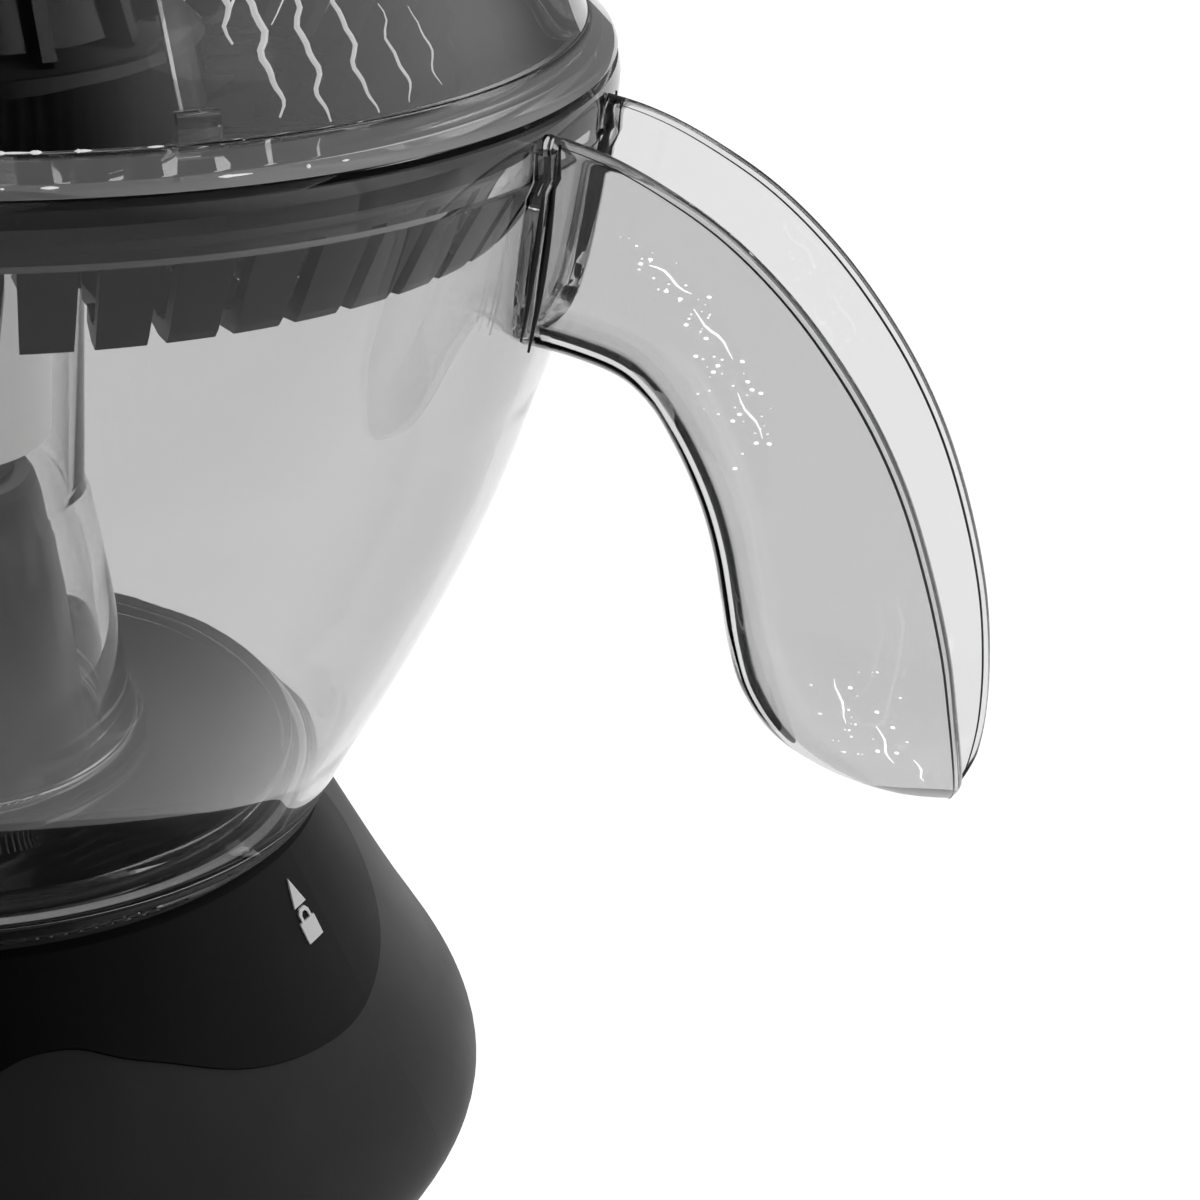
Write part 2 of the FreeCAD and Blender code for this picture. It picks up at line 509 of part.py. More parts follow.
# Dust cover: sloping rim band, domed top and a short locating ring inside the jug's rim
dome_out = [(71.4, 147.4), (68.6, 152.4), (64.4, 159.4), (58.8, 167.2), (51.6, 174.8), (42.6, 181.8),
            (32.0, 187.2), (21.0, 190.4), (10.4, 191.8), (0.0, 192.2)]
dome_in = [(69.6, 146.8)] + [(r * 0.975, z - 1.7) for r, z in dome_out[1:]]
cover = revolve_curves(tuple(dome_out), tuple(dome_in[::-1]), [
    (69.9, 142.9), (71.9, 142.9), (71.9, 144.2), (75.0, 144.2), (74.4, 145.0)])
rib = box(62.0, 71.0, -1.2, 1.2, 149.0, 160.0).cut(box(60.0, 66.4, -2, 2, 140, 155))
rib = rib.fuse(box(68.4, 71.0, -2.1, 2.1, 143.6, 149.4))
cap_inside = revolve([(60, 143.2), (70.4, 143.2), (70.0, 148.0), (68.0, 151.8), (63.6, 158.8), (60, 163)])
ribs = [turned(rib, a).common(cap_inside) for x, y, a in around(69.0, 4, COVER_RIB_TURN)]
parts["dust_cover"] = fuse([cover] + ribs)

os.makedirs("parts", exist_ok=True)
for name, shape in parts.items():
    shape.exportStep("parts/%s.step" % name)
    print(name, shape.ShapeType, len(shape.Solids), round(shape.Volume, 1), shape.isValid())
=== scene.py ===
import bpy
import bmesh
import math
import random
from mathutils import Matrix, Vector


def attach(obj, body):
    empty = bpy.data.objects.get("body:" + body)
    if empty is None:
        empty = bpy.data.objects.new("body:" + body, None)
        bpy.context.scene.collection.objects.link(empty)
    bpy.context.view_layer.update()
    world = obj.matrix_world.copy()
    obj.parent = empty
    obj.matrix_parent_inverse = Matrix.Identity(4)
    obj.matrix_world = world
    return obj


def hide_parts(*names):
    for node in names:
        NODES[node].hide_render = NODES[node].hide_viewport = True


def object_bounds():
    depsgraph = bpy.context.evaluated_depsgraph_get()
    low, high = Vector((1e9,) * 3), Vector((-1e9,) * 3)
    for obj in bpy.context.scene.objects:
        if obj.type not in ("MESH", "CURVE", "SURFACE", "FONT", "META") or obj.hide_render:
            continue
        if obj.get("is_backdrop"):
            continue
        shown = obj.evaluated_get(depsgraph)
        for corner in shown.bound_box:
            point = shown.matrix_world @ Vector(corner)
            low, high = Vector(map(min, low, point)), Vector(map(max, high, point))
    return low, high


# Citrus press: the CAD nodes with their materials, and smooth walls for the clear parts.
# Outlines and paths are in millimetres until they become vertices.
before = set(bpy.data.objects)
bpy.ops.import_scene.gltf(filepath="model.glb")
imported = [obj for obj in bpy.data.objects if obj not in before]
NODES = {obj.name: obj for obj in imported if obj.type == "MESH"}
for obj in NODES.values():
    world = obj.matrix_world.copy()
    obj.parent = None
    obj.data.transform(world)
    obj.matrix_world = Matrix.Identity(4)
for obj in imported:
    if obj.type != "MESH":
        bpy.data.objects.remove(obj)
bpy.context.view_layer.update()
random.seed(11)

RIM_Z = 0.143             # top of the jug's rim, metres
COVER_RIB_TURN = -39.5    # first of the four ribs inside the cover, degrees round from the handle
FLOOR_GLOW = 0.9          # brightness of the lit half of the floor
WORLD_LIGHT = 0.22        # brightness of the studio on its bright side


# ---------------------------------------------------------------- materials
class Tree:
    """A material's node tree with a short way to add and join nodes."""

    def __init__(self, name):
        self.material = bpy.data.materials.new(name)
        self.material.use_nodes = True
        self.nodes = self.material.node_tree.nodes
        self.links = self.material.node_tree.links
        self.shader = self.nodes["Principled BSDF"]
        self.place = self.add("ShaderNodeTexCoord").outputs["Object"]

    def add(self, kind, inputs=None, **settings):
        node = self.nodes.new(kind)
        for key, value in settings.items():
            setattr(node, key, value)
        for key, value in (inputs or {}).items():
            self.feed(node, key, value)
        return node

    def feed(self, node, key, value):
        socket = node.inputs[key]
        if isinstance(value, bpy.types.NodeSocket):
            self.links.new(value, socket)
        else:
            socket.default_value = value

    def noise(self, scale, detail=3.0, roughness=0.55, stretch=None, distortion=0.0):
        place = self.place
        if stretch:
            mapped = self.add("ShaderNodeMapping", {"Vector": place, "Scale": stretch})
            place = mapped.outputs["Vector"]
        node = self.add("ShaderNodeTexNoise", {
            "Vector": place, "Scale": scale, "Detail": detail, "Roughness": roughness,
            "Distortion": distortion})
        return node.outputs["Fac"]

    def spread(self, value, low, high, start=0.3, end=0.7):
        node = self.add("ShaderNodeMapRange", {
            "Value": value, "From Min": start, "From Max": end, "To Min": low, "To Max": high})
        return node.outputs["Result"]

    def tint(self, value, dark, light, start=0.3, end=0.7):
        ramp = self.add("ShaderNodeValToRGB", {"Fac": value})
        ramp.color_ramp.elements[0].position = start
        ramp.color_ramp.elements[0].color = (*dark, 1)
        ramp.color_ramp.elements[1].position = end
        ramp.color_ramp.elements[1].color = (*light, 1)
        return ramp.outputs["Color"]

    def mix(self, share, one, two, blend_type="MIX"):
        node = self.add("ShaderNodeMixRGB", {"Fac": share, "Color1": one, "Color2": two},
                        blend_type=blend_type)
        return node.outputs["Color"]

    def bump(self, height, distance, strength=1.0, under=None):
        inputs = {"Height": height, "Distance": distance, "Strength": strength}
        if under:
            inputs["Normal"] = under
        return self.add("ShaderNodeBump", inputs).outputs["Normal"]

    def set(self, **values):
        for key, value in values.items():
            self.feed(self.shader, key.replace("_", " "), value)
        return self.material


def grey(value, warm=0.0):
    """Neutral colour, or a slightly warm one."""
    return (value * (1 + warm), value, value * (1 - warm))


def plastic(name, dark, light, rough, grain, depth, wear=0.12, specular=0.5):
    """Moulded plastic: fine spark-eroded grain, slow changes of tone and handled patches."""
    t = Tree(name)
    fine = t.noise(grain, 2.0, 0.6)
    slow = t.noise(38.0, 4.0, 0.6)
    patch = t.noise(14.0, 5.0, 0.65, distortion=0.6)
    t.shader.inputs["Specular IOR Level"].default_value = specular
    under = t.bump(slow, depth * 1.5, 0.25)
    return t.set(Base_Color=t.tint(slow, dark, light),
                 Roughness=t.spread(patch, rough - wear * 0.5, rough + wear),
                 Normal=t.bump(fine, depth, 0.5, under))


def clear(name, tint, rough=0.012, ripple=0.00006, core=None, edge=0.45, frosted=None):
    """Clear moulded plastic: slight smoke tint, deeper where the wall is seen edge-on, flow
    ripples and faint rubbed haze. core is a paler tint for the thin column near the axis;
    frosted is a (radius, low, high) band that is paler and less clear."""
    t = Tree(name)
    flow = t.noise(26.0, 2.0, 0.5, stretch=(1.0, 1.0, 0.45))
    haze = t.noise(90.0, 5.0, 0.7)
    t.shader.inputs["Transmission Weight"].default_value = 1.0
    t.shader.inputs["IOR"].default_value = 1.5
    colour = t.tint(flow, tuple(c * 0.985 for c in tint), tint)
    flat = t.add("ShaderNodeVectorMath", {0: t.place, 1: (1.0, 1.0, 0.0)}, operation="MULTIPLY")
    reach = t.add("ShaderNodeVectorMath", {0: flat.outputs["Vector"]}, operation="LENGTH").outputs["Value"]
    if core:
        blend = t.spread(reach, 0.0, 1.0, 0.028, 0.036)
        colour = t.mix(blend, (*core, 1), colour)
    slant = t.add("ShaderNodeLayerWeight", {"Blend": 0.5}).outputs["Facing"]
    depth = t.spread(slant, 1.0, edge, 0.4, 0.88)
    shade = t.add("ShaderNodeCombineColor", {"Red": depth, "Green": depth, "Blue": depth}).outputs["Color"]
    colour = t.mix(1.0, colour, shade, "MULTIPLY")
    if frosted:
        radius, low, high = frosted
        level = t.add("ShaderNodeSeparateXYZ", {"Vector": t.place}).outputs["Z"]
        band = t.spread(reach, 0.0, 1.0, radius - 0.0002, radius)
        for start, end in ((low - 0.0003, low), (high + 0.0003, high)):
            within = t.spread(level, 0.0, 1.0, start, end)
            band = t.add("ShaderNodeMath", {0: band, 1: within}, operation="MULTIPLY").outputs["Value"]
        t.set(Transmission_Weight=t.spread(band, 1.0, 0.6, 0.0, 1.0))
        colour = t.mix(band, colour, (*grey(0.62), 1))
    return t.set(Base_Color=colour,
                 Roughness=t.spread(haze, rough * 0.4, rough * 2.6, 0.45, 0.8),
                 Normal=t.bump(flow, ripple, 0.35))


def metal(name, dark, light, rough, stretch, depth=0.00002):
    """Worked metal: drawn or turned marks along one direction and dull patches."""
    t = Tree(name)
    lines = t.noise(320.0, 3.0, 0.6, stretch=stretch)
    patch = t.noise(60.0, 4.0, 0.6)
    t.shader.inputs["Metallic"].default_value = 1.0
    return t.set(Base_Color=t.tint(patch, dark, light),
                 Roughness=t.spread(lines, rough * 0.75, rough * 1.35),
                 Normal=t.bump(lines, depth, 0.5))


MATERIALS = {
    "base_housing": plastic("black_shell_mat", grey(0.02), grey(0.027), 0.5, 2600.0, 0.00003, specular=0.2),
    "front_apron": plastic("apron_mat", grey(0.003), grey(0.0045), 0.45, 2600.0, 0.00003, specular=0.1),
    "lock_marks": plastic("print_mat", grey(0.82), grey(0.9), 0.5, 1800.0, 0.00001),
    "deck_panel": plastic("panel_mat", grey(0.002), grey(0.003), 0.5, 1800.0, 0.00001, specular=0.05),
    "top_deck": plastic("deck_mat", grey(0.075), grey(0.1), 0.38, 2400.0, 0.00003),
    "base_plate": plastic("plate_mat", grey(0.012), grey(0.02), 0.6, 1800.0, 0.00005),
    "rubber_feet": plastic("rubber_mat", grey(0.018), grey(0.03), 0.8, 1500.0, 0.00006, specular=0.3),
    "jug": clear("jug_mat", grey(0.70), core=grey(0.97)),
    "jug_handle": clear("handle_mat", grey(0.72)),
    "dust_cover": clear("cover_mat", grey(0.82), ripple=0.00012, frosted=(0.0716, 0.1428, 0.1468)),
    "strainer": plastic("strainer_mat", grey(0.036), grey(0.046), 0.34, 1500.0, 0.00002, specular=0.3),
    "reamer": plastic("reamer_mat", grey(0.006), grey(0.009), 0.14, 900.0, 0.00001, wear=0.08),
    "drive_sleeve": plastic("sleeve_mat", grey(0.6, 0.01), grey(0.68, 0.01), 0.4, 1500.0, 0.00002),
    "idler_gear": plastic("gear_mat", grey(0.66, 0.03), grey(0.74, 0.03), 0.34, 1200.0, 0.00003),
    "terminal_block": plastic("block_mat", grey(0.6, 0.03), grey(0.68, 0.03), 0.5, 1200.0, 0.00004),
    "switch_body": plastic("switch_mat", grey(0.02), grey(0.03), 0.5, 1500.0, 0.00003),
    "switch_plunger": plastic("plunger_mat", (0.33, 0.012, 0.008), (0.42, 0.018, 0.012), 0.4,
                              1500.0, 0.00002),
    "drive_shaft": metal("shaft_mat", grey(0.55), grey(0.66), 0.22, (1.0, 1.0, 14.0)),
    "return_spring": metal("spring_mat", grey(0.38), grey(0.5), 0.3, (6.0, 6.0, 1.0)),
    "motor_bracket": metal("steel_mat", grey(0.5, 0.01), grey(0.6, 0.01), 0.36, (1.0, 8.0, 1.0)),
    "motor_stator": metal("lamination_mat", grey(0.2), grey(0.3), 0.42, (0.4, 0.4, 16.0), 0.00008),
    "motor_coil": metal("copper_mat", (0.5, 0.16, 0.06), (0.62, 0.24, 0.1), 0.32, (1.0, 22.0, 1.0), 0.00012),
    "rotor_pinion": metal("brass_mat", (0.6, 0.42, 0.14), (0.7, 0.5, 0.2), 0.3, (1.0, 1.0, 9.0)),
}
SAME_AS = {
    "cord_inlet": "rubber_feet", "shaft_seal": "rubber_feet",
    "output_gear": "idler_gear", "motor_rotor": "motor_bracket", "gearbox_plate": "motor_bracket",
    "gearbox_screws": "motor_bracket", "plate_screws": "motor_bracket", "idler_pin": "drive_shaft",
    "shading_rings": "motor_coil", "gearbox_pillars": "rotor_pinion", "plate_bearings": "rotor_pinion",
    "shaft_bushing": "rotor_pinion",
}


def smooth(obj, degrees=32.0):
    """Smooth shading with the sharper edges kept."""
    for polygon in obj.data.polygons:
        polygon.use_smooth = True
    obj.data.set_sharp_from_angle(angle=math.radians(degrees))


# Painted glow: the sleeve is given a faint white emission so that it looks lit inside the column
sleeve_shader = MATERIALS["drive_sleeve"].node_tree.nodes["Principled BSDF"]
sleeve_shader.inputs["Emission Color"].default_value = (1, 1, 1, 1)
sleeve_shader.inputs["Emission Strength"].default_value = 0.45

for name, obj in NODES.items():
    obj.data.materials.clear()
    obj.data.materials.append(MATERIALS[SAME_AS.get(name, name)])
    smooth(obj)


# ---------------------------------------------------------------- turned and swept shapes
def curve(points, count):
    """Smooth curve through the points, as a list of count points to each stretch."""
    ends = [points[0]] + list(points) + [points[-1]]
    out = []
    for k in range(1, len(ends) - 2):
        p0, p1, p2, p3 = (Vector(q) for q in ends[k - 1:k + 3])
        for step in range(count):
            u = step / count
            out.append(0.5 * ((2 * p1) + (p2 - p0) * u + (2 * p0 - 5 * p1 + 4 * p2 - p3) * u * u
                              + (3 * p1 - p0 - 3 * p2 + p3) * u ** 3))
    out.append(Vector(points[-1]))
    return out


def rounded(points, radius, steps=4):
    """Closed outline with its corners eased by a small radius."""
    out = []
    for k, point in enumerate(points):
        here = Vector(point)
        before, after = Vector(points[k - 1]) - here, Vector(points[(k + 1) % len(points)]) - here
        if before.length < 1e-6 or after.length < 1e-6:
            continue
        if before.angle(after) > math.radians(165):
            out.append(here)
            continue
        start = here + before.normalized() * min(radius, before.length * 0.45)
        end = here + after.normalized() * min(radius, after.length * 0.45)
        for step in range(steps + 1):
            u = step / steps
            out.append(start * (1 - u) ** 2 + here * 2 * u * (1 - u) + end * u * u)
    return out


def object_from(name, bm, material, degrees=32.0):
    """Object made from a finished bmesh."""
    bmesh.ops.remove_doubles(bm, verts=bm.verts, dist=2e-7)
    bmesh.ops.recalc_face_normals(bm, faces=bm.faces)
    mesh = bpy.data.meshes.new(name)
    bm.to_mesh(mesh)
    bm.free()
    obj = bpy.data.objects.new(name, mesh)
    mesh.materials.append(material)
    bpy.context.scene.collection.objects.link(obj)
    smooth(obj, degrees)
    return obj


def bridge(bm, loops, closed_path=False):
    """Quads between successive loops of vertices, each loop closed on itself."""
    pairs = list(zip(loops, loops[1:]))
    if closed_path:
        pairs.append((loops[-1], loops[0]))
    for one, two in pairs:
        for k in range(len(one)):
            j = (k + 1) % len(one)
            bm.faces.new((one[k], one[j], two[j], two[k]))


def loft(bm, rings):
    """Skin over successive rings of vertices, closed by a face at each end."""
    bridge(bm, rings)
    bm.faces.new(rings[0])
    bm.faces.new(rings[-1])


def lathe(bm, outline, first=0.0, last=360.0, segments=288, radius_at=None):
    """Closed outline of (radius, height) in millimetres turned round the axis."""
    whole = last - first >= 360.0
    loops = []
    for k in range(segments if whole else segments + 1):
        a = math.radians(first + (last - first) * k / segments)
        ring = []
        for index, point in enumerate(outline):
            r = radius_at(index, point, a) if radius_at else point[0]
            ring.append(bm.verts.new((r * math.cos(a) / 1000, r * math.sin(a) / 1000, point[1] / 1000)))
        loops.append(ring)
    if whole:
        bridge(bm, loops, True)
    else:
        loft(bm, loops)


# ---------------------------------------------------------------- clear jug
JUG_SIDE = [(75.4, 138.4), (74.85, 137.6), (74.3, 132.0), (73.4, 125.0), (72.1, 118.0), (70.6, 111.8),
            (69.0, 106.7), (67.6, 101.8), (66.2, 97.1), (64.7, 92.7), (62.9, 88.0), (60.9, 83.3),
            (58.6, 78.2), (56.1, 72.9), (53.6, 67.8), (50.9, 62.6), (46.5, 53.6)]
WALL = 2.0
outside = curve(JUG_SIDE[1:], 6)
inside = [Vector((p.x - WALL, p.y)) for p in outside[::-1] if p.y > 56.0]
bell_in = curve([(20.7, 58.0), (19.9, 66.5), (19.2, 72.0), (18.2, 78.4), (16.9, 84.0), (15.9, 88.0)], 5)
bell_out = curve([(18.2, 87.6), (19.3, 82.6), (20.6, 76.4), (21.7, 70.0), (22.9, 63.0), (24.4, 59.6),
                  (27.0, 58.7)], 5)
foot = [(46.0, 53.7), (45.6, 53.6), (40.9, 53.6), (40.6, 53.9), (40.6, 56.8), (20.8, 56.8)]
collar = [(73.3, 139.2), (73.3, 143.8), (74.2, 143.8), (75.0, 143.2), (75.4, 142.0), (75.4, 138.4)]
column = [(15.7, 130.0), (17.4, 130.0), (17.5, 89.2)]
gutter = [(41.9, 58.6), (42.25, 58.45), (42.4, 58.1), (42.4, 55.8), (42.7, 55.5), (45.0, 55.4), (45.5, 55.8)]
outline = []
for stretch in (outside, foot, bell_in, column, bell_out, gutter, inside, collar):
    outline += [Vector(p) for p in stretch]
inner_from = len(outline) - len(collar) - len(inside)


LIP_FOOT_Z = 112.0        # where the pouring lip starts to leave the wall
LIP_RISE = 31.8           # from there up to the rim
LIP_REACH = 0.6           # radians to each side of the lip's point


def with_lip(index, point, angle):
    """The jug's radius, pushed out to a pouring lip on the side away from the handle."""
    r, z = point[0], point[1]
    turn = abs(math.remainder(angle - math.pi, 2 * math.pi))
    if z < LIP_FOOT_Z or r < 60.0 or turn > LIP_REACH:
        return r
    inner = (index >= inner_from and r < 73.9)
    rise = min((z - LIP_FOOT_Z) / LIP_RISE, 1.0)
    half = (22.0 if inner else 24.0) * (0.2 + 0.8 * rise)
    low, high = (68.4, 82.4) if inner else (70.6, 84.9)
    point_r, back = low + (high - low) * rise, (60.4 if inner else 62.6)
    edge = point_r * half / (half * math.cos(turn) + (point_r - back) * math.sin(turn))
    gap = (edge - r) / 1.2
    return r + 1.2 * math.log1p(math.exp(gap)) if gap < 30 else edge


bm = bmesh.new()
lathe(bm, outline, radius_at=with_lip, segments=360)
jug = object_from("jug_clear", bm, MATERIALS["jug"], 28.0)
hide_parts("jug")
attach(jug, "jug")

# Three bayonet lugs under the jug's foot
bm = bmesh.new()
lug = rounded([(39.0, 53.7), (40.5, 53.7), (40.5, 54.3), (39.0, 54.3)], 0.15, 2)
for k in range(3):
    lathe(bm, lug, 120.0 * k - 11.0, 120.0 * k + 11.0, 14)
lugs = object_from("jug_lugs", bm, MATERIALS["jug"])
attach(lugs, "jug")

# ---------------------------------------------------------------- clear cover
dome_out = [(71.4, 147.4), (68.6, 152.4), (64.4, 159.4), (58.8, 167.2), (51.6, 174.8), (42.6, 181.8),
            (32.0, 187.2), (21.0, 190.4), (10.4, 191.8), (0.0, 192.2)]
dome_in = [(69.6, 146.8)] + [(r * 0.975, z - 1.7) for r, z in dome_out[1:]]
outer = curve(dome_out, 6)
inner = curve(dome_in[::-1], 6)
rim = [(69.9, 142.9), (71.9, 142.9), (71.9, 144.2), (75.0, 144.2), (74.5, 145.0)]
outline = outer + inner + rounded([(69.6, 146.9)] + rim + [(71.4, 147.3)], 0.25, 3)[1:-1]
bm = bmesh.new()
lathe(bm, outline, segments=360)
cover = object_from("cover_clear", bm, MATERIALS["dust_cover"], 28.0)
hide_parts("dust_cover")
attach(cover, "cover")

# Four ribs inside the cover, each a slim stem with a pad at its foot
bm = bmesh.new()
stem = [p for p in curve(dome_in[:4], 6) if 149.0 < p[1] < 161.0]
strip = [Vector((p[0] - 0.15, p[1])) for p in stem] + [Vector((p[0] - 1.6, p[1])) for p in stem[::-1]]
pad = rounded([(68.0, 144.0), (69.5, 144.0), (68.6, 149.2), (67.2, 149.2)], 0.3, 3)
for k in range(4):
    middle = COVER_RIB_TURN + 90.0 * k
    lathe(bm, strip, middle - 1.0, middle + 1.0, 4)
    lathe(bm, pad, middle - 1.8, middle + 1.8, 6)
ribs = object_from("cover_ribs", bm, MATERIALS["dust_cover"], 40.0)
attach(ribs, "cover")

# ---------------------------------------------------------------- clear handle
# Each station: rail (distance out, height), keel (distance out, height), half width
STATIONS = [
    (66.0, 141.8, 64.0, 118.2, 10.5), (74.5, 141.6, 72.5, 118.4, 10.5), (81.0, 140.4, 78.4, 117.8, 10.5),
    (87.5, 137.9, 83.0, 116.6, 10.5), (93.7, 134.6, 86.2, 114.2, 10.5), (99.7, 130.0, 88.6, 110.9, 10.5),
    (105.0, 124.6, 90.7, 107.3, 10.5), (109.9, 118.3, 92.5, 103.4, 10.5), (113.9, 111.4, 93.9, 99.2, 10.5),
    (117.2, 103.5, 95.0, 94.6, 10.5), (119.7, 95.6, 96.1, 89.8, 10.2), (121.1, 88.6, 98.0, 84.9, 9.4),
    (121.8, 82.8, 101.8, 80.2, 7.6), (121.8, 79.0, 107.6, 77.0, 5.2), (121.3, 76.6, 114.0, 75.3, 2.6),
    (120.7, 75.4, 118.6, 75.1, 0.7)]


def skin_radius(z):
    """Outside of the jug's wall at a height."""
    side = [(75.4, 150.0)] + JUG_SIDE
    for (r1, z1), (r0, z0) in zip(side, side[1:]):
        if z0 <= z <= z1:
            return r0 + (r1 - r0) * (z - z0) / (z1 - z0)
    return side[-1][0]


def wall_point(y, z, lift):
    """Point on the handle's side of the jug's wall, lifted off it."""
    r = skin_radius(z) + lift
    return Vector((math.sqrt(r * r - y * y), y, z))


def u_point(station, a, inset):
    """Point of the channel's section at an angle round it, moved inwards by an inset."""
    rx, rz, kx, kz, half = station
    depth = math.hypot(kx - rx, kz - rz)
    ux, uz = (kx - rx) / depth, (kz - rz) / depth
    cosine = math.cos(a)
    across = (half - inset) * math.copysign(abs(cosine) ** 0.5, cosine)
    down = (depth - inset) * max(math.sin(a), 0.0) ** 0.72
    return Vector((rx + ux * down, across, rz + uz * down)), Vector((-ux, 0.0, -uz))


def handle_wall(station):
    return min(1.9, 0.42 * station[4])


def handle_bead(station):
    return min(2.5, 0.5 * station[4])


def handle_loop(station):
    """Closed section of the open channel: outer skin, inner skin and a rounded bead on each rail."""
    wall = handle_wall(station)
    bead = handle_bead(station)
    steps = 44
    outer_side, inner_side = [], []
    for k in range(steps + 1):
        a = math.pi * (0.5 - 0.5 * math.cos(math.pi * k / steps))
        near_rail = (1 - math.sin(a)) ** 3
        outer_side.append(u_point(station, a, 0.0)[0])
        inner_side.append(u_point(station, a, wall + (bead - wall) * near_rail)[0])
    raised = u_point(station, 0.0, 0.0)[1]
    caps = []
    for start, end in ((outer_side[-1], inner_side[-1]), (inner_side[0], outer_side[0])):
        middle = (start + end) / 2
        reach_out = (end - start) / 2
        caps.append([middle - reach_out * math.cos(t) + raised * reach_out.length * 0.7 * math.sin(t)
                     for t in (math.pi * j / 8 for j in range(1, 8))])
    return outer_side + caps[0] + inner_side[::-1] + caps[1]


dense = curve(STATIONS, 7)
# Sections are pressed out to the jug's wall; of those wholly inside it only the last is kept
loops, buried = [], True
for station in dense:
    moved = []
    free = False
    for q in handle_loop(station):
        on_wall = wall_point(q.y, q.z, 0.06)
        if q.x < on_wall.x:
            q = on_wall
        else:
            free = True
        moved.append(q)
    if free and buried and loops:
        loops = loops[-1:]
    buried = not free
    loops.append(moved)
bm = bmesh.new()
loft(bm, [[bm.verts.new(q / 1000) for q in loop] for loop in loops])
handle = object_from("handle_clear", bm, MATERIALS["jug_handle"], 38.0)
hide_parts("jug_handle")
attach(handle, "jug")

# Shield that joins the handle's root to the jug's wall
bm = bmesh.new()
rings = []
root_station = (76.0, 141.2, 76.0, 118.2, 10.5)
for k in range(61):
    a = math.pi * k / 60
    inner_edge = u_point(root_station, a, 0.9)[0]
    outer_edge = u_point((76.0, 141.2, 76.0, 118.0, 12.6), a, 0.0)[0]
    outer_edge.z = max(outer_edge.z, 118.2 + 0.3 * abs(outer_edge.y))
    section = []
    for edge, lift in ((inner_edge, 0.08), (inner_edge, 1.6), (outer_edge, 1.6), (outer_edge, 0.08)):
        section.append(wall_point(edge.y, edge.z, lift))
    eased = []
    for j, here in enumerate(section):
        for other in (section[j - 1], section[(j + 1) % 4]):
            eased.append(here + (other - here) * min(0.35 / max((other - here).length, 1e-6), 0.4))
    rings.append([bm.verts.new(q / 1000) for q in eased])
loft(bm, rings)
shield = object_from("handle_root", bm, MATERIALS["jug_handle"], 50.0)
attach(shield, "jug")


# ---------------------------------------------------------------- painted glints and painted shade lines
def painted_glint(name, glow):
    """Painted highlight: white with its own emission, standing in for glints."""
    t = Tree(name)
    t.shader.inputs["Emission Color"].default_value = (1, 1, 1, 1)
    t.shader.inputs["Emission Strength"].default_value = glow
    cloud = t.noise(700.0, 3.0)
    return t.set(Base_Color=t.tint(cloud, grey(0.7), grey(0.9)), Roughness=t.spread(cloud, 0.05, 0.3),
                 Normal=t.bump(cloud, 0.00005, 0.6))


# Painted highlight materials, one dim and one bright
DIM_GLINT = painted_glint("dim_glint_mat", 0.45)
BRIGHT_GLINT = painted_glint("bright_glint_mat", 1.4)
# Painted shade: grey and dark materials for thin lines that stand in for shade along edges and gaps
GREY_SHADE_LINE = plastic("grey_shade_line_mat", grey(0.10), grey(0.16), 0.4, 2400.0, 0.00002)
DARK_SHADE_LINE = plastic("dark_shade_line_mat", grey(0.006), grey(0.012), 0.4, 2400.0, 0.00002)


def glint_bead(bm, place, size):
    """Small uneven bead, a little flattened, shaped to carry a painted glint."""
    made = bmesh.ops.create_icosphere(bm, subdivisions=2, radius=size)["verts"]
    lean = random.uniform(0.0, 3.0)
    for v in made:
        swell = 1.0 + 0.25 * math.sin(3 * v.co.x / size + lean) * v.co.y / size
        v.co = Vector((v.co.x * swell, v.co.y, v.co.z * 0.6)) + place


def string(bm, path, width):
    """Thin tapering thread along a path of points."""
    rings = []
    for k, point in enumerate(path):
        along = (path[min(k + 1, len(path) - 1)] - path[max(k - 1, 0)]).normalized()
        side = along.cross(Vector((0.3, 0.9, 0.1))).normalized()
        other = along.cross(side)
        u = k / (len(path) - 1)
        r = width * (0.25 + 0.75 * math.sin(math.pi * min(max(u, 0.04), 0.96)))
        rings.append([bm.verts.new(point + side * r * math.cos(t) + other * r * math.sin(t))
                      for t in (2 * math.pi * j / 8 for j in range(8))])
    loft(bm, rings)


def thread(name, path, width, material, body):
    """A piece of its own made of one thread; path and width in millimetres."""
    bm = bmesh.new()
    string(bm, [place / 1000 for place in path], width / 1000)
    piece = object_from(name, bm, material, 60.0)
    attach(piece, body)


def inside_handle(station_index, a):
    """Point just inside the handle's inner skin."""
    station = dense[station_index]
    return u_point(station, a, handle_wall(station) + 0.25)[0] / 1000


# Painted highlights: glowing white beads and streaks on the inside of the handle, standing in for glints
bm = bmesh.new()
for first, last, a_low, a_high, count in ((17, 30, 0.16, 0.34, 26), (28, 44, 0.22, 0.5, 34),
                                          (34, 46, 0.4, 0.8, 14), (72, 84, 0.12, 0.6, 30)):
    for k in range(count):
        place = inside_handle(random.randint(first, last), math.pi - random.uniform(a_low, a_high))
        glint_bead(bm, place, random.choice((0.00008, 0.00012, 0.00016, 0.00026)))
glint_beads = object_from("handle_glint_beads", bm, BRIGHT_GLINT, 60.0)
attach(glint_beads, "jug")

bm = bmesh.new()
for first, last, a in ((21, 28, 0.24), (28, 36, 0.30), (38, 45, 0.42),
                       (73, 80, 0.42), (79, 86, 0.25), (84, 90, 0.12)):
    path = [inside_handle(k, math.pi - a - 0.012 * math.sin(k * 1.3)) for k in range(first, last)]
    string(bm, path, 0.00013)
glint_lines = object_from("handle_glint_line", bm, BRIGHT_GLINT, 60.0)
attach(glint_lines, "jug")

